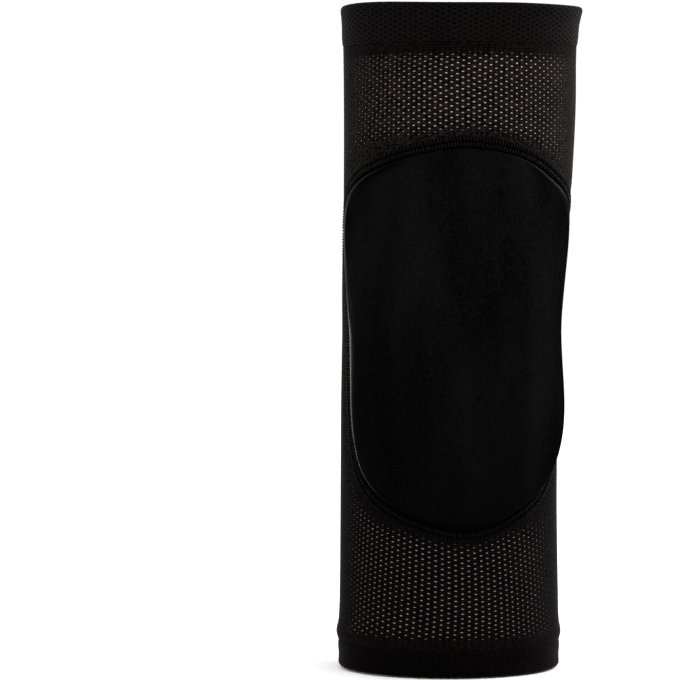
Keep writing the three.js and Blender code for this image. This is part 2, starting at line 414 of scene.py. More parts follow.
class PiercedCloth:
    """Quads of a cloth with staggered holes; each row of holes is half a cell on from the last."""

    def __init__(self, place, first_row, row_count, depth, loop, hole_scale=1.0):
        self.place = place
        self.hole_scale = hole_scale
        self.first_row = first_row
        self.row_count = row_count
        self.depth = depth
        self.loop = loop
        self.quads = []
        row, column = self.holes()
        cells, rows = self.spot(row.repeat(SIDES), column.repeat(SIDES), np.tile(range(SIDES), len(row)), 1.0)
        self.layer_size = len(cells)
        self.points = [place(cells, rows, 0.0), place(cells, rows, depth)]

    def holes(self):
        """Row and column of every hole."""
        row = np.arange(self.first_row, self.first_row + self.row_count)
        return row.repeat(CELLS), np.tile(range(CELLS), self.row_count)

    def half_size(self, row, axis):
        """Half size of a hole across or down; the holes get smaller down the arm."""
        share = np.clip(row / ROWS, 0, 1)
        size = HOLE_HALF_TOP[axis] + (HOLE_HALF_BOTTOM[axis] - HOLE_HALF_TOP[axis]) * share
        return self.hole_scale * size

    def spot(self, row, column, corner, scale):
        """Place of a hole's corner in cells and rows."""
        cells = column + 0.5 * (row % 2) + scale * self.half_size(row, 0) * CORNERS[corner, 0]
        rows = row + scale * self.half_size(row, 1) * CORNERS[corner, 1]
        return cells, rows

    def index(self, row, column, corner, layer):
        """Number of a hole's corner among the points, on the outer or the inner layer."""
        turn = (row - self.first_row) % self.row_count
        return layer * self.layer_size + (turn * CELLS + column % CELLS) * SIDES + corner

    def keep(self, faces, cells, rows, inner, turned):
        """Store quads with the place of each corner in the cloth, turned over where asked."""
        way = -1 if turned else 1
        side = np.full(faces.shape, inner)
        self.quads.append([part[:, ::way] for part in (faces, cells, rows, side)])

    def add(self, quads, row, column, layer=0, scale=1.0, inner=False):
        """Add the same quads at many holes."""
        for quad in quads:
            steps = np.array(quad)
            rows = row[:, None] + steps[:, 0]
            columns = column[:, None] + steps[:, 1] + steps[:, 0] * (row[:, None] % 2)
            at = rows, columns, steps[:, 2]
            self.keep(self.index(*at, layer), *self.spot(*at, scale), inner, inner)

    def add_walls(self, row, column):
        """Add the six sides of open holes."""
        layers = np.array((0, 0, 1, 1))
        scales = np.where(layers == 0, 1.0, FLOOR_SCALE)
        for corner in range(SIDES):
            at = row[:, None], column[:, None], (corner + np.array((0, 1, 1, 0))) % SIDES
            self.keep(self.index(*at, layers), *self.spot(*at, scales), False, False)

    def add_edge(self, row, edge_row, corners, lower):
        """Add a straight edge ring beyond the first or last row, and the rim between the layers."""
        column = np.repeat(np.arange(CELLS + 1), 2)
        corner = np.tile(corners, CELLS + 1)
        cells, _ = self.spot(row, column, corner, 1.0)
        rows = np.full(len(cells), float(edge_row))
        start = sum(len(p) for p in self.points)
        ring = 2 * CELLS
        self.points += [self.place(cells[:ring], rows[:ring], d) for d in (0.0, self.depth)]
        a = np.arange(ring)
        b = (a + 1) % ring
        hole = self.index(row, column[:ring], corner[:ring], 0)
        hole_rows = np.full(ring, row + self.half_size(row, 1) * CORNERS[corners[0], 1])
        u = rows_of(cells[a], cells[a], cells[a + 1], cells[a + 1])
        v = rows_of(rows[a], hole_rows, hole_rows, rows[a])
        for inner in (False, True):
            edge = start + inner * ring
            shift = inner * self.layer_size
            quad = rows_of(edge + a, hole + shift, hole[b] + shift, edge + b)
            self.keep(quad, u, v, inner, inner != lower)
        rim = rows_of(start + a, start + b, start + ring + b, start + ring + a)
        far = rows + (RIM_ROWS if lower else -RIM_ROWS)
        rim_u = rows_of(cells[a], cells[a + 1], cells[a + 1], cells[a])
        rim_v = rows_of(rows[a], rows[a], far[a], far[a])
        self.keep(rim, rim_u, rim_v, False, lower)

    def piece(self, name):
        """Make the object, with the outer side in one half of the bake map and the inner in the other."""
        faces, cells, rows, inner = (np.concatenate(part) for part in zip(*self.quads))
        cloth = rows_of(cells * CELL_LENGTH, -rows * ROW_LENGTH)
        down = (rows - self.first_row + 1) / (self.row_count + 2)
        bake_v = down if self.loop else 0.5 * down + 0.5 * inner
        bake = rows_of((cells + 1) / (CELLS + 2), bake_v)
        return make_piece(name, np.concatenate(self.points), faces.tolist(), cloth, bake)


def cell_angle(cells, z):
    """Angle of a cell round the arm; the cells are closer at the front near the top, wider below."""
    share = np.clip((z - TUBE_BOTTOM) / (TUBE_TOP - TUBE_BOTTOM), 0, 1)
    turn = TURN * cells / CELLS
    return turn - (SPREAD_BOTTOM + (SPREAD_TOP - SPREAD_BOTTOM) * share) * np.sin(turn)


def mesh_spot(cells, rows):
    """Angle and height of a place in the mesh cloth, whose rows run in slow waves."""
    down = rows + 0.5
    bottom_step = 2 * (TUBE_TOP - TUBE_BOTTOM) / ROWS - TOP_ROW_STEP
    z = TUBE_TOP - down * (TOP_ROW_STEP + (bottom_step - TOP_ROW_STEP) * down / (2 * ROWS))
    angle = cell_angle(cells, z)
    fade = smooth_step(np.minimum(TUBE_TOP - z, z - TUBE_BOTTOM), 0, RIPPLE_FADE)
    return angle + fade * waves(ROW_DRIFT, angle, z), z + fade * waves(ROW_RIPPLES, angle, z)


def mesh_place(cells, rows, depth):
    """Point of the mesh cloth."""
    angle, z = mesh_spot(cells, rows)
    return sleeve_point(angle, z, -depth - seam_dent(angle, z))


def make_mesh_half(name, first_row, row_count):
    """Half of the tube's mesh cloth, pierced by holes whose sides carry painted shade, wherever the pad
    doesn't cover it.
    """
    cloth = PiercedCloth(mesh_place, first_row, row_count, WEB, loop=False)
    row, column = cloth.holes()
    last_row = first_row + row_count - 1
    stepped = row < last_row
    for layer, inner in ((0, False), (1, True)):
        cloth.add(BESIDE, row, column, layer, inner=inner)
        cloth.add(BELOW, row[stepped], column[stepped], layer, inner=inner)
    angle, z = mesh_spot(*cloth.spot(row, column, RIGHT, 0.0))
    covered = beyond_seam(half_turns(angle), z) < -HOLES_UNDER_SEAM
    cloth.add(CAP, row[covered], column[covered])
    cloth.add(CAP, row[covered], column[covered], 1, inner=True)
    wall_from = sum(len(faces) for faces, *_ in cloth.quads)
    cloth.add_walls(row[~covered], column[~covered])
    cloth.add_edge(first_row, first_row - 0.5, (UPPER_LEFT, UPPER_RIGHT), lower=False)
    cloth.add_edge(last_row, last_row + 0.5, (LOWER_LEFT, LOWER_RIGHT), lower=True)
    piece = cloth.piece(name)
    use_second_material(piece, wall_from, wall_from + SIDES * np.count_nonzero(~covered))
    return piece


def on_corners(spots, faces, girth=math.inf):
    """Cloth coordinates of every face corner; a face across the closing line of a girth stays whole."""
    coords = [spots[list(f)] for f in faces]
    for corners in coords:
        corners[corners[:, 0] < corners[:, 0].max() - girth / 2, 0] += girth
    return np.concatenate(coords)


def grid_faces(rings, columns, close_rings=False):
    """Quads of a grid that runs round in its columns, and in its rings too when asked."""
    ids = np.arange(rings * columns).reshape(rings, columns)
    below = np.roll(ids, -1, axis=0)
    quads = rows_of(ids, below, np.roll(below, -1, axis=1), np.roll(ids, -1, axis=1))
    return quads[:rings - 1 + close_rings].reshape(-1, 4).tolist()


def make_mesh_ground():
    """Pale ground that shows through the holes: a thin tube right behind the pierced cloth."""
    outside = np.linspace(TUBE_TOP, TUBE_BOTTOM, GROUND_LEVELS)
    z = np.repeat(np.concatenate((outside, outside[::-1])), GROUND_COLUMNS)
    depth = np.repeat((WEB + WEB_GAP, WALL), GROUND_LEVELS * GROUND_COLUMNS)
    angle = np.tile(half_turns(np.arange(GROUND_COLUMNS) / GROUND_COLUMNS * TURN), 2 * GROUND_LEVELS)
    points = sleeve_point(angle, z, -depth - seam_dent(angle, z))
    faces = grid_faces(2 * GROUND_LEVELS, GROUND_COLUMNS, close_rings=True)
    around = angle * CLOTH_RADIUS
    coords = on_corners(rows_of(around, z), faces, TURN * CLOTH_RADIUS)
    piece = make_piece("mesh_ground", points, faces, coords)
    # Where the ground turns dark: beside the seam and the hems, in patches beside the seam that are partly
    # painted shade, and painted shade down the arm and at the upper left.
    margin = SHADE_MARGIN + SHADE_MARGIN_TOP * smooth_step(z, *MARGIN_RISE)
    for side, end, extra in SHADE_PATCHES:
        margin += extra * smooth_step(side * around, *PATCH_ASIDE) * smooth_step(end * z, *PATCH_END)
    clear = smooth_step(beyond_seam(angle, z) - margin, *SEAM_SHADE)
    clear *= smooth_step(TUBE_TOP - z, *TOP_SHADE) * smooth_step(z - TUBE_BOTTOM, *BOTTOM_SHADE)
    clear *= LOW_LIGHT + (1 - LOW_LIGHT) * smooth_step(z, *LOW_LIGHT_RISE)
    beside = smooth_step(-angle, *SIDE_SHADE_IN) * (1 - smooth_step(-angle, *SIDE_SHADE_OUT))
    clear *= 1 - SIDE_SHADE * beside * smooth_step(z, *SIDE_SHADE_RISE)
    mark(piece, "pale", clear)
    use_second_material(piece, (GROUND_LEVELS - 1) * GROUND_COLUMNS)
    return piece


# Hems

def hem_profile(height):
    """Closed outline of a hem, as rise from the tube's edge and offset, from the fold down the outside."""
    radius = (HEM_SWELL - HEM_INSIDE) / 2
    middle = (HEM_SWELL + HEM_INSIDE) / 2
    turn = np.radians(np.linspace(90, 0, FOLD_STEPS))
    fold_out = rows_of(height - radius + radius * np.sin(turn), middle + radius * np.cos(turn))
    fold_in = fold_out[::-1] * (1, -1) + (0, 2 * middle)
    outside = [(share * height, offset) for share, offset in HEM_FLARE] + [(GAP, 0.0)]
    lap = ((GAP, -WALL - GAP), (-HEM_LAP, -WALL - GAP), (-HEM_LAP, HEM_INSIDE))
    return np.concatenate((fold_out, outside, lap, fold_in[:-1]))


def hem_place(height, edge, up, wave, rows_round):
    """Function that places the cells and rows of a hem's cloth."""
    profile = hem_profile(height)[::up]
    loop = np.concatenate((profile, profile[:1]))
    travel = travelled(loop)

    def place(cells, rows, depth):
        at = (rows / rows_round % 1) * travel[-1]
        here = places_along(loop, travel, at)
        rise, offset = here.T
        ahead = places_along(loop, travel, (at + SLOPE_STEP) % travel[-1])
        slope_rise, slope_offset = (ahead - here).T
        length = np.hypot(slope_rise, slope_offset)
        z = edge + up * rise - depth * slope_offset / length
        angle = cell_angle(cells, z)
        z = z + wave * (RIM_LIFT + waves(RIM_WAVES, angle, 0.0)) * np.clip(rise / height, 0, 1) ** 2
        return sleeve_point(angle, z, offset + up * depth * slope_rise / length)

    return place


def make_hem(name, height, edge, up, wave, holes, row_count):
    """Folded hem of doubled mesh, whose holes are dimples darkened with painted shade on their sides and
    floors.
    """
    place = hem_place(height, edge, up, wave, row_count)
    cloth = PiercedCloth(place, 0, row_count, HEM_DIMPLE, loop=True, hole_scale=holes)
    row, column = cloth.holes()
    cloth.add(BESIDE, row, column)
    cloth.add(BELOW, row, column)
    cloth.add_walls(row, column)
    cloth.add(CAP, row, column, 1, FLOOR_SCALE)
    piece = cloth.piece(name)
    use_second_material(piece, len(row) * (len(BESIDE) + len(BELOW)))
    return piece


# Pad

def face_height(across, z):
    """Height of the pad's face over the tube; it falls from its middle towards the ridge."""
    crown = np.interp(z, PAD_CROWN[:, 0], PAD_CROWN[:, 1])
    return PAD_THICKNESS + crown * (across / CROWN_REACH) ** 2


def quad_fill(loop):
    """Square grid of flat places inside a closed loop, whose edge is the loop itself."""
    side = len(loop) // 4
    ring = np.concatenate((loop, loop[:1]))
    top, right, low, left = (ring[k * side:(k + 1) * side + 1] for k in range(4))
    low = low[::-1]
    left = left[::-1]
    t = np.linspace(0, 1, side + 1)
    across = t[None, :, None]
    down = t[:, None, None]
    corners = ((1 - down) * ((1 - across) * top[0] + across * top[-1])
               + down * ((1 - across) * low[0] + across * low[-1]))
    return ((1 - down) * top[None] + down * low[None] + (1 - across) * left[:, None]
            + across * right[:, None] - corners)


def fill_ids(first, side, next_id):
    """Point numbers of a square grid whose edge is a ring that starts at first; the inside is new."""
    ids = np.zeros((side + 1, side + 1), int)
    ring = first + np.arange(4 * side + 1) % (4 * side)
    ids[0, :] = ring[:side + 1]
    ids[:, side] = ring[side:2 * side + 1]
    ids[side, ::-1] = ring[2 * side:3 * side + 1]
    ids[::-1, 0] = ring[3 * side:]
    ids[1:-1, 1:-1] = next_id + np.arange((side - 1) ** 2).reshape(side - 1, side - 1)
    return ids


def pad_cage():
    """Rings of the pad from under its middle out to its foot, up the slope and over the face."""
    turn_start = PAD_COLUMNS // 8
    seam = np.roll(SEAM_EDGE, turn_start, axis=0)
    ridge = np.roll(closed_curve(RIDGE_OUTLINE, PAD_COLUMNS), turn_start, axis=0)
    foot = moved_in(seam, SEAM_WIDTH + slope_shape(seam, SEAM_GAP))
    inner = PAD_CENTRE + (foot - PAD_CENTRE) * UNDER_SCALE
    rings = [pad_point(*inner.T, 0.0), pad_point(*foot.T, -SEAM_DENT)]
    foot_3d = pad_point(*foot.T, COVER - SEAM_DENT)
    over_foot = pad_point(*foot.T, face_height(*ridge.T))
    ridge_3d = pad_point(*ridge.T, face_height(*ridge.T))
    roundness = slope_shape(seam, ROUNDNESS)
    for i in range(SLOPE_RINGS):
        level = i / SLOPE_RINGS
        turn = level * math.pi / 2
        rise = level + roundness * (math.sin(turn) - level)
        run = level + roundness * (1 - math.cos(turn) - level)
        rings.append(foot_3d + (over_foot - foot_3d) * rise + (ridge_3d - over_foot) * run)
    for i in range(FACE_RINGS + 1):
        face = PAD_CENTRE + (ridge - PAD_CENTRE) * (1 - (1 - FACE_INNER) * i / FACE_RINGS)
        rings.append(pad_point(*face.T, face_height(*face.T)))
    faces = grid_faces(len(rings), PAD_COLUMNS)
    points = list(rings)
    for ring, flat, raised in ((0, inner, 0), (len(rings) - 1, face, 1)):
        side = PAD_COLUMNS // 4
        ids = fill_ids(ring * PAD_COLUMNS, side, sum(len(p) for p in points))
        inside = quad_fill(flat)[1:-1, 1:-1].reshape(-1, 2)
        points.append(pad_point(*inside.T, raised * face_height(*inside.T)))
        quads = rows_of(ids[:-1, :-1], ids[1:, :-1], ids[1:, 1:], ids[:-1, 1:]).reshape(-1, 4)
        faces += quads.tolist()
    return np.concatenate(points), faces


def swell(piece, pinned):
    """Swell the cover by a short cloth simulation with its underside and foot held."""
    start = np.array([v.co for v in piece.data.vertices])
    group = piece.vertex_groups.new(name="held")
    group.add(pinned, 1.0, "REPLACE")
    cloth = piece.modifiers.new("Cloth", "CLOTH")
    for key, value in SWELL_SETTINGS.items():
        setattr(cloth.settings, key, value)
    cloth.settings.vertex_group_mass = "held"
    cloth.settings.effector_weights.gravity = 0
    cloth.point_cache.frame_start = 1
    cloth.point_cache.frame_end = SWELL_STEPS
    for step in range(SWELL_STEPS):
        scene.frame_set(step + 1)
    solved = piece.evaluated_get(bpy.context.evaluated_depsgraph_get())
    end = np.array([v.co for v in solved.data.vertices])
    piece.modifiers.remove(cloth)
    scene.frame_set(1)
    move = end - start
    length = np.maximum(np.linalg.norm(move, axis=1, keepdims=True), 1e-9)
    move *= np.minimum(length, PAD_SWELL_CAP * MM) / length
    piece.data.vertices.foreach_set("co", (start + move).ravel())
    piece.data.update()
    return float(length.max())


def face_out(piece):
    """Turn every face of a closed mesh outwards."""
    made = bmesh.new()
    made.from_mesh(piece.data)
    bmesh.ops.recalc_face_normals(made, faces=made.faces)
    made.to_mesh(piece.data)
    made.free()


def make_pad():
    """Padded cover: a closed form that stands on the mesh inside the seam."""
    points, faces = pad_cage()
    piece = make_piece("pad_cover", points, faces, sharp=180)
    face_out(piece)
    foot_ring = 2
    ridge_ring = foot_ring + SLOPE_RINGS
    first_slope = (foot_ring + 1) * PAD_COLUMNS
    first_fill = (ridge_ring + FACE_RINGS + 1) * PAD_COLUMNS
    under_fill = (PAD_COLUMNS // 4 - 1) ** 2
    held = [*range(first_slope), *range(first_fill, first_fill + under_fill)]
    moved = swell(piece, held)
    print(f"pad cover swelled by up to {moved / MM:.2f} mm before the cap")
    flat = np.array([v.co for v in piece.data.vertices]) / MM
    around = np.arctan2(flat[:, 0], -flat[:, 1]) * CLOTH_RADIUS
    corners = np.array([loop.vertex_index for loop in piece.data.loops])
    add_coords(piece.data, "cloth", rows_of(around[corners], flat[corners, 2]))
    ring = np.arange(len(flat)) // PAD_COLUMNS
    z = flat[:, 2]
    aside = np.abs(around)
    cover = (ring >= foot_ring - 1) & (ring <= ridge_ring + FACE_RINGS)
    level = np.clip((ring - foot_ring) / SLOPE_RINGS, 0, 1)
    # Marks for the material: painted sheen highlight on the sides where light catches them, lighter ribbed
    # sides that are partly painted light, and painted shade under the lower end and in the upper corners.
    painted_sheen_rings = (foot_ring, foot_ring + 1, ridge_ring, ridge_ring + 2)
    painted_sheen = np.interp(ring, painted_sheen_rings, (0.0, 1.0, PAINTED_SHEEN_AT_RIDGE, 0.0))
    for sign, reach, comes, drops, left in PAINTED_SHEEN_SIDES:
        here = smooth_step(aside, *reach) * smooth_step(z, *comes) * (1 - (1 - left) * smooth_step(z, *drops))
        painted_sheen *= np.where(sign * around > 0, here, 1.0)
    lit_stretch = smooth_step(aside, *LIT_STRETCH_ASIDE) * smooth_step(z, *LIT_STRETCH_IN)
    lit_stretch *= (1 - smooth_step(z, *LIT_STRETCH_OUT)) * (1 - smooth_step(level, *LIT_STRETCH_SLOPE))
    corner_shade = smooth_step(z, *CORNER_SHADE_RISE) * smooth_step(aside, *CORNER_SHADE_ASIDE)
    shade = (1 - smooth_step(level, *LOW_SHADE_SLOPE)) * smooth_step(-z, *LOW_SHADE_DROP)
    shade += (1 - smooth_step(level, *CORNER_SHADE_SLOPE)) * corner_shade
    for name, value in (("painted_sheen", painted_sheen), ("lit_stretch", lit_stretch), ("shade", shade)):
        mark(piece, name, np.where(cover, value, 0.0))
    corner = (ring == ridge_ring) & (aside > CREASE_FROM) & (z > CREASE_LOW) & (z < CREASE_HIGH)
    ends = np.array([edge.vertices[:] for edge in piece.data.edges])
    mark(piece, "crease_edge", np.where(corner[ends].all(axis=1), CREASE, 0.0), "EDGE")
    fine = piece.modifiers.new("Subdivision", "SUBSURF")
    fine.levels = fine.render_levels = 2
    return piece


# Seam

SEAM_PITCH = 1.2
SEAM_STEPS = 2000
BAND_COLUMNS = 360
# Lanes of cross threads: inner end and outer end from the seam's outer edge, thread radius, slant along it.
SEAM_LANES = ((4.2, 2.3, 0.3, 0.4), (1.8, 0.1, 0.3, -0.2))
# Band under the threads, whose inner rows reach across the gap to the pad as a dark strip of painted shade:
# share of its width from the outer edge, share of the gap to the pad, height.
BAND_SECTION = (
    (0.0, 0.0, 0.05), (0.03, 0.0, 0.3), (0.2, 0.0, 0.45), (0.41, 0.0, 0.15), (0.61, 0.0, 0.45),
    (0.9, 0.0, 0.45), (1.0, 0.0, 0.25), (1.0, 0.9, 0.12), (1.0, 0.9, 0.04),
)
THREAD_SIDES = 6
THREAD_STRAY = 0.12
THREAD_BASE = 0.15
THREAD_ARCH = 0.55
# Along a thread: share of its length, share of its radius, share of its arch.
THREAD_STATIONS = ((0.0, 0.35, 0.0), (0.12, 0.85, 0.55), (0.35, 1.0, 0.95), (0.65, 1.0, 0.95),
                   (0.88, 0.85, 0.55), (1.0, 0.35, 0.0))


def make_seam_band():
    """Flat band of the seam, the ground of its threads, reaching across the gap to the pad as painted shade.
    """
    edge = closed_curve(SEAM_OUTLINE, BAND_COLUMNS)
    gap = slope_shape(edge, SEAM_GAP)
    rings = []
    spots = []
    for width_share, gap_share, height in BAND_SECTION:
        flat = moved_in(edge, width_share * SEAM_WIDTH + gap_share * gap)
        rings.append(pad_point(*flat.T, height - SEAM_DENT))
        inset = np.full(BAND_COLUMNS, (width_share + gap_share) * SEAM_WIDTH)
        spots.append(rows_of(np.arange(BAND_COLUMNS) * SEAM_PITCH, inset))
    faces = [f[::-1] for f in grid_faces(len(rings), BAND_COLUMNS, close_rings=True)]
    coords = on_corners(np.concatenate(spots), faces, BAND_COLUMNS * SEAM_PITCH)
    return make_piece("seam_band", np.concatenate(rings), faces, coords, sharp=60)


def make_seam_threads():
    """Cross threads of the seam in two lanes, as short round strands that arch over the band."""
    rng = np.random.default_rng(SEED)
    edge = closed_curve(SEAM_OUTLINE, SEAM_STEPS)
    travel = np.linalg.norm(np.roll(edge, -1, 0) - edge, axis=1).sum()
    count = int(travel / SEAM_PITCH)
    points = []
    spots = []
    faces = []
    for inner, outer, radius, slant in SEAM_LANES:
        base = np.arange(count) / count + rng.uniform(-THREAD_STRAY, THREAD_STRAY, count) / count
        stations = []
        for along, thick, lift in THREAD_STATIONS:
            share = (base + (along - 0.5) * slant / travel) % 1
            at = (share * len(edge)).astype(int) % len(edge)
            rim = moved_in(edge, inner + (outer - inner) * along)[at]
            height = THREAD_BASE + lift * THREAD_ARCH - SEAM_DENT
            stations.append((pad_point(*rim.T, height), pad_point(*rim.T, height + 1.0), thick * radius))
        whole = unit(stations[-1][0] - stations[0][0])
        start = sum(len(p) for p in points)
        rows = []
        twist = []
        for step, (middle, above, thick) in enumerate(stations):
            up = above - middle
            side = unit(np.cross(whole, up))
            for k in range(THREAD_SIDES):
                turn = TURN * k / THREAD_SIDES
                rows.append(middle + thick * (math.cos(turn) * side + math.sin(turn) * up))
                twist.append((radius * turn, THREAD_STATIONS[step][0] * (inner - outer)))
        block = np.stack(rows, axis=1)
        spots.append(np.tile(twist, (count, 1)))
        per = block.shape[1]
        points.append(block.reshape(-1, 3))
        pattern = grid_faces(len(stations), THREAD_SIDES)
        pattern.append(tuple(range(THREAD_SIDES)))
        pattern.append(tuple(range(per - 1, per - THREAD_SIDES - 1, -1)))
        for i in range(count):
            shift = start + i * per
            faces += [tuple(shift + v for v in f) for f in pattern]
    coords = on_corners(np.concatenate(spots), faces)
    return make_piece("seam_threads", np.concatenate(points), faces, coords, sharp=80)


# Materials

WARM = (1.0, 0.82, 0.83, 1.0)
PLAIN = (1.0, 1.0, 1.0, 1.0)
# Near black colour of the painted shade under the pad's lower end and in its upper corners.
PAINTED_UNDERCUT_SHADE = (0.0003, 0.0003, 0.0003, 1.0)
WAVE_RATE = 20
# Heights between which the cloth darkens: down the pad's lower half as painted shade, and up towards the
# upper hem.
LOWER_PAINTED_SHADE = (30, -70)
UPPER_END = (108.5, 112)
# Knits: name, dark and light colour, tint of the sheen, wale, course and relief in millimetres, sheen and its
# width, roughness, specular level, grain of the fibre, and falls as two heights and the share left.
KNITS = {
    "mesh": ("mesh_knit_black", (1, 1, 1), (33, 26, 25), WARM, CELL_LENGTH / 2, ROW_LENGTH, 0.12, 0.06, 0.18,
             0.75, 0.015, 1.8, ((*LOWER_PAINTED_SHADE, 0.25), (*UPPER_END, 0.35))),
    "hem": ("hem_knit_black", (4, 3, 3), (19, 14, 15), WARM, 1.1, 0.9, 0.12, 0.06, 0.25, 0.8, 0.02, 1.0, ()),
    # The lower hem: the hem knit made darker as painted shade.
    "shaded_low_hem": ("low_hem_painted_shade", (1, 1, 1), (9, 6, 7), WARM, 1.1, 0.9, 0.12, 0.05, 0.3, 0.8, 0.01, 1.0, ()),
    # Near black painted shade on the sides of the mesh holes and in the hem dimples.
    "hole_shade": ("hole_painted_shade", (1, 1, 1), (2, 1, 1), WARM, 1.1, 0.9, 0.05, 0.0, 0.3, 0.9, 0.0, 1.0, ()),
    "seam": ("seam_thread_black", (4, 4, 5), (24, 24, 25), PLAIN, 0.5, 0.5, 0.05, 0.08, 0.3, 0.6, 0.02, 1.0,
             ((*LOWER_PAINTED_SHADE, 0.2),)),
    # Seam band: dark tape, darkened further as painted shade for the gap beside the pad.
    "band": ("seam_band_and_gap_shade", (1, 1, 1), (3, 3, 3), PLAIN, 1.1, 0.5, 0.05, 0.0, 0.25, 0.8, 0.0, 1.0, ()),
}
FIBRE_SCALE = 900
CLOUD_SCALE = 60
KNIT_RANGE = 0.6
KNIT_PATTERN = 0.3
FIBRE_RELIEF = 0.5
ROUGHNESS_SPREAD = 0.1
PAD_DARK = (2, 2, 2)
PAD_LIGHT = (14, 14, 14)
# Colour of the stretched, ribbed sides, lighter as painted light.
PAD_STRETCHED_LIT = (10, 10, 10)
# Sheen weight on the face and on the sides; the sides' sheen is a painted highlight.
PAD_SHEEN = (0.03, 1.0)
# Share left at the pad's lower end by the painted shade.
PAD_FALL = 0.45
PAD_GRAIN = (0.05, 0.012, 1.0)
PAD_RANGE = (0.62, 1.24)
PAD_WALE = 1.2
PAD_WALE_TONE = 0.08
PAD_WALE_RELIEF = 0.4
PAD_FIBRE_TONE = 0.75
PAD_RELIEF = 0.05
RIB_PITCH = 1.2
RIB_LOW = 0.3
GROUND_DARK = (18, 14, 14)
GROUND_PALE = (255, 248, 250)
GROUND_SCALE = 420
GROUND_RANGE = (0.3, 0.6)
GROUND_LOW = 0.7
FLOOR_DARK = (0.93, 0.93, 0.93, 1.0)
FLOOR_PALE = (0.97, 0.97, 0.97, 1.0)
FLOOR_PATCHES = 3


def feed(tree, socket, value):
    """Give an input a value, or the output of another node."""
    if isinstance(value, bpy.types.NodeSocket):
        tree.links.new(value, socket)
    else:
        socket.default_value = value


def add_node(tree, kind, inputs=None, **settings):
    """Shader node with its settings and inputs."""
    node = tree.nodes.new("ShaderNode" + kind)
    for key, value in settings.items():
        setattr(node, key, value)
    for key, value in (inputs or {}).items():
        feed(tree, node.inputs[key], value)
    return node


def colour(red, green, blue):
    """Linear colour from the 8-bit one that it should look like."""
    linear = []
    for value in (red, green, blue):
        share = value / 255
        linear.append(share / 12.92 if share <= 0.04045 else ((share + 0.055) / 1.055) ** 2.4)
    return (*linear, 1.0)


def new_material(name, inputs):
    """Material with its shader, whose constant inputs are set, and the place in the object."""
    material = bpy.data.materials.new(name)
    material.use_nodes = True
    shader = material.node_tree.nodes["Principled BSDF"]
    for key, value in inputs.items():
        shader.inputs[key].default_value = value
    solid = add_node(material.node_tree, "TexCoord").outputs["Object"]
    return material, material.node_tree, shader, solid


def stripes(tree, coords, pitch, direction, distortion):
    """Bands of a pitch in millimetres across the cloth, the first one on its zero line."""
    wave = add_node(
        tree, "TexWave", {"Vector": coords, "Scale": TURN / WAVE_RATE / pitch, "Distortion": distortion,
                          "Detail": 1.0, "Detail Scale": 2.0, "Phase Offset": math.pi},
        wave_type="BANDS", bands_direction=direction,
    )
    return wave.outputs["Fac"]


def blend(tree, share, low, high):
    """Colour between two colours."""
    mix = add_node(tree, "Mix", {"Factor": share}, data_type="RGBA")
    for socket in mix.inputs:
        if socket.type == "RGBA":
            feed(tree, socket, low if socket.name == "A" else high)
    return next(s for s in mix.outputs if s.type == "RGBA")


def join(tree, operation, first, second):
    """Sum or product of two numbers."""
    node = add_node(tree, "Math", operation=operation)
    for socket, value in zip(node.inputs, (first, second)):
        feed(tree, socket, value)
    return node.outputs[0]


def ranged(tree, value, start, end, low=0.0, high=1.0):
    """Number that goes from low to high while a value goes from start to end."""
    node = add_node(tree, "MapRange", {
        "Value": value, "From Min": start, "From Max": end, "To Min": low, "To Max": high,
    })
    return node.outputs["Result"]


def noise(tree, coords, scale, detail=2.0):
    """Soft noise with so many patches to a unit."""
    return add_node(tree, "TexNoise", {"Vector": coords, "Scale": scale, "Detail": detail}).outputs["Fac"]


def fall(tree, solid, start, end, low):
    """Share that falls from 1 at one height to a low value at another."""
    height = add_node(tree, "SeparateXYZ", {"Vector": solid}).outputs["Z"]
    return ranged(tree, height, start * MM, end * MM, 1.0, low)


def knit_material(
        name, dark, light, tint, wale, course, relief, sheen, sheen_width, roughness, level, grain, falls):
    """Knitted cloth: wales and courses as relief, and fibre mottle in its colour and roughness."""
    material, tree, shader, solid = new_material(name, {
        "Specular IOR Level": level, "Sheen Weight": sheen, "Sheen Roughness": sheen_width, "Sheen Tint": tint
    })
    cloth = add_node(tree, "UVMap", uv_map="cloth").outputs["UV"]
    wales = stripes(tree, cloth, wale, "X", distortion=0.5)
    courses = stripes(tree, cloth, course, "Y", distortion=0.5)
    fibre = noise(tree, solid, FIBRE_SCALE, detail=3.0)
    cloud = noise(tree, solid, CLOUD_SCALE, detail=4.0)
    yarn = join(tree, "MULTIPLY", wales, courses)
    mixed = join(tree, "MULTIPLY", join(tree, "ADD", yarn, cloud), KNIT_PATTERN)
    mixed = join(tree, "ADD", mixed, join(tree, "MULTIPLY", fibre, grain))
    share = ranged(tree, mixed, grain / 2, grain / 2 + KNIT_RANGE)
    for start, end, low in falls:
        share = join(tree, "MULTIPLY", share, fall(tree, solid, start, end, low))
    tree.links.new(blend(tree, share, colour(*dark), colour(*light)), shader.inputs["Base Color"])
    rough = ranged(tree, fibre, 0.0, 1.0, roughness - ROUGHNESS_SPREAD, roughness + ROUGHNESS_SPREAD)
    tree.links.new(rough, shader.inputs["Roughness"])
    height = join(tree, "ADD", yarn, join(tree, "MULTIPLY", fibre, FIBRE_RELIEF))
    bump = add_node(tree, "Bump", {"Height": height, "Strength": 0.8, "Distance": relief * MM})
    tree.links.new(bump.outputs["Normal"], shader.inputs["Normal"])
    return material


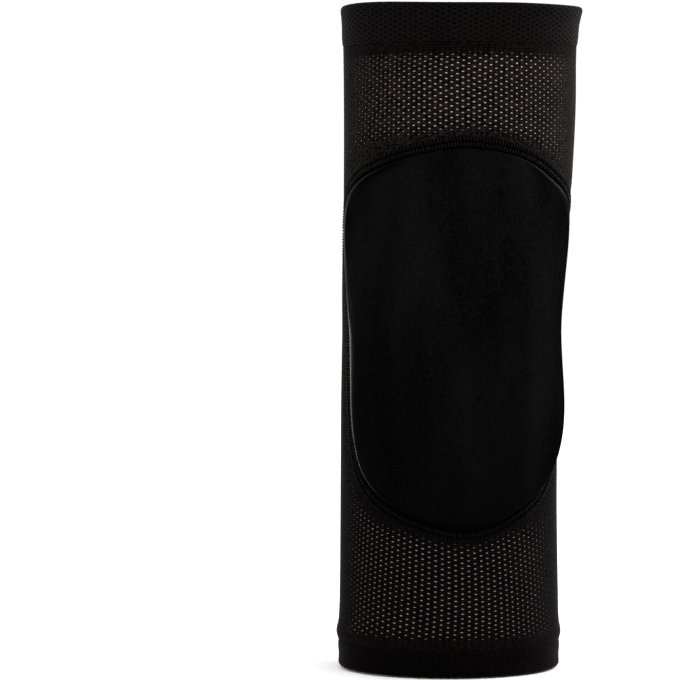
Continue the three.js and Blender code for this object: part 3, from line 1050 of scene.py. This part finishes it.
def pad_material():
    """Smooth cover knit with fine mottle; its ribbed sides are lighter as painted light and shine with a
    painted sheen highlight, and its undercut edges are darkened as painted shade.
    """
    material, tree, shader, solid = new_material("pad_cover_knit", {
        "Specular IOR Level": 0.0, "Roughness": 0.6, "Sheen Roughness": 0.15,
    })
    cloth = add_node(tree, "UVMap", uv_map="cloth").outputs["UV"]
    painted_sheen, lit_stretch, shade = (
        add_node(tree, "Attribute", attribute_name=n).outputs["Fac"] for n in ("painted_sheen", "lit_stretch", "shade")
    )
    sheen = ranged(tree, painted_sheen, 0.0, 1.0, *PAD_SHEEN)
    tree.links.new(sheen, shader.inputs["Sheen Weight"])
    long_grain = add_node(tree, "Mapping", {"Vector": cloth, "Scale": PAD_GRAIN}).outputs["Vector"]
    cloud = noise(tree, long_grain, 1.0)
    fibre = noise(tree, solid, FIBRE_SCALE)
    wales = stripes(tree, cloth, PAD_WALE, "X", distortion=2.0)
    mixed = join(tree, "ADD", join(tree, "MULTIPLY", wales, PAD_WALE_TONE), cloud)
    mixed = join(tree, "ADD", mixed, join(tree, "MULTIPLY", fibre, PAD_FIBRE_TONE))
    share = ranged(tree, mixed, *PAD_RANGE)
    share = join(tree, "MULTIPLY", share, fall(tree, solid, *LOWER_PAINTED_SHADE, PAD_FALL))
    plain = blend(tree, share, colour(*PAD_DARK), colour(*PAD_LIGHT))
    # The ribs are the knit; the lighter colour of the sides is painted light.
    ribs = stripes(tree, cloth, RIB_PITCH, "Y", distortion=3.0)
    rib_share = ranged(tree, ribs, 0.0, 1.0, RIB_LOW)
    sides = blend(tree, join(tree, "MULTIPLY", lit_stretch, rib_share), plain, colour(*PAD_STRETCHED_LIT))
    # Painted shade darkens the cover under its lower end and in its upper corners.
    tree.links.new(blend(tree, shade, sides, PAINTED_UNDERCUT_SHADE), shader.inputs["Base Color"])
    relief = join(tree, "ADD", join(tree, "MULTIPLY", wales, PAD_WALE_RELIEF), fibre)
    bump = add_node(tree, "Bump", {"Height": relief, "Strength": 0.5, "Distance": PAD_RELIEF * MM})
    tree.links.new(bump.outputs["Normal"], shader.inputs["Normal"])
    return material


def ground_material():
    """Pale warm ground behind the holes, dark beside the seam and the hems, with painted shade down the arm
    and at the upper left.
    """
    material, tree, shader, solid = new_material("mesh_ground_pale", {
        "Specular IOR Level": 0.2, "Roughness": 0.8,
    })
    pale = add_node(tree, "Attribute", attribute_name="pale").outputs["Fac"]
    patches = ranged(tree, noise(tree, solid, GROUND_SCALE), *GROUND_RANGE, GROUND_LOW)
    share = join(tree, "MULTIPLY", pale, patches)
    tone = blend(tree, share, colour(*GROUND_DARK), colour(*GROUND_PALE))
    tree.links.new(tone, shader.inputs["Base Color"])
    return material


def floor_material():
    """Pale matt studio floor."""
    material, tree, shader, solid = new_material("studio_floor", {
        "Specular IOR Level": 0.1, "Roughness": 0.9,
    })
    tone = blend(tree, noise(tree, solid, FLOOR_PATCHES), FLOOR_DARK, FLOOR_PALE)
    tree.links.new(tone, shader.inputs["Base Color"])
    return material


MATERIALS = {key: knit_material(*knit) for key, knit in KNITS.items()}
MATERIALS.update(pad=pad_material(), ground=ground_material())


# Pieces

def dress(piece, node, slot, *materials):
    """Give a piece its materials and its body, and hide the imported part that it replaces; the slot is not
    used.
    """
    for name in materials:
        piece.data.materials.append(MATERIALS[name])
    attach(piece, "root")
    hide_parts(node)
    return piece


mesh_upper = dress(make_mesh_half("mesh_upper", 0, SPLIT_ROW), "mesh_sleeve", "mesh_knit", "mesh", "hole_shade")
mesh_lower = dress(
    make_mesh_half("mesh_lower", SPLIT_ROW, ROWS - SPLIT_ROW), "mesh_sleeve", "mesh_knit", "mesh", "hole_shade"
)
mesh_ground = dress(make_mesh_ground(), "mesh_sleeve", "mesh_knit", "ground", "mesh")
top_hem = dress(
    make_hem("top_hem_cloth", TOP_HEM_HEIGHT, TUBE_TOP, 1, TOP_HEM_WAVE, TOP_HEM_HOLES, TOP_HEM_ROWS),
    "top_hem", "hem_knit", "hem", "hole_shade",
)
bottom_hem = dress(
    make_hem("bottom_hem_cloth", BOTTOM_HEM_HEIGHT, TUBE_BOTTOM, -1, BOTTOM_HEM_WAVE, BOTTOM_HEM_HOLES,
             BOTTOM_HEM_ROWS),
    "bottom_hem", "hem_knit", "shaded_low_hem", "hole_shade",
)
pad_cover = dress(make_pad(), "elbow_pad", "pad_cover", "pad")
seam_band = dress(make_seam_band(), "pad_seam", "seam_thread", "band")
seam_threads = dress(make_seam_threads(), "pad_seam", "seam_thread", "seam")


# Studio

FLOOR_DROP = 0.4
FLOOR_HALF = 40000
WORLD_STRENGTH = 1.1
AZIMUTH = math.radians(-7.5)
CAMERA_REACH = 1300
CAMERA_HEIGHT = 48
VIEW_AXIS = Vector((2.7, 6.0, 0.0))
AIM_ASIDE = -45.2
AIM_HEIGHT = -0.4
FRAME_WIDTH = 270.4
SENSOR = 36
CLIP_END = 50


def make_floor():
    """Large plain floor just under the sleeve."""
    level = TUBE_BOTTOM - BOTTOM_HEM_HEIGHT - FLOOR_DROP
    corners = [(x * FLOOR_HALF, y * FLOOR_HALF, level) for x, y in ((-1, -1), (1, -1), (1, 1), (-1, 1))]
    floor = make_piece("studio_floor", corners, [(0, 1, 2, 3)])
    floor.data.materials.append(floor_material())


def make_camera():
    """Camera at the height and side of the photograph's."""
    right = Vector((math.cos(AZIMUTH), math.sin(AZIMUTH), 0))
    back = Vector((math.sin(AZIMUTH), -math.cos(AZIMUTH), 0))
    place = VIEW_AXIS + back * CAMERA_REACH + Vector((0, 0, CAMERA_HEIGHT))
    aim = VIEW_AXIS + right * AIM_ASIDE + Vector((0, 0, AIM_HEIGHT))
    data = bpy.data.cameras.new("camera")
    data.sensor_width = SENSOR
    data.lens = SENSOR * CAMERA_REACH / FRAME_WIDTH
    data.clip_end = CLIP_END
    camera = add_object("camera", data)
    camera.location = place * MM
    camera.rotation_euler = (aim - place).to_track_quat("-Z", "Y").to_euler()
    scene.camera = camera


# Soft boxes: name, place in metres, size in metres, power in watts.
SOFT_BOXES = (
    ("key", (1.3, -1.3, 1.0), 2.0, 14.0),
    ("rim_right", (1.5, 0.5, 0.8), 1.0, 30.0),
    ("rim_left", (-1.5, 0.5, 0.8), 1.0, 6.0),
    ("top", (0.0, 0.4, 2.0), 1.6, 10.0),
)


def make_lights():
    """White surroundings and soft boxes aimed at the sleeve."""
    for name, place, size, power in SOFT_BOXES:
        data = bpy.data.lights.new(name, "AREA")
        data.size = size
        data.energy = power
        lamp = add_object(name, data)
        lamp.location = place
        lamp.rotation_euler = (-Vector(place)).to_track_quat("-Z", "Y").to_euler()
    world = bpy.data.worlds.new("studio")
    world.use_nodes = True
    background = world.node_tree.nodes["Background"]
    background.inputs["Color"].default_value = (1, 1, 1, 1)
    background.inputs["Strength"].default_value = WORLD_STRENGTH
    scene.world = world
    scene.view_settings.view_transform = "Standard"


make_floor()
make_camera()
make_lights()
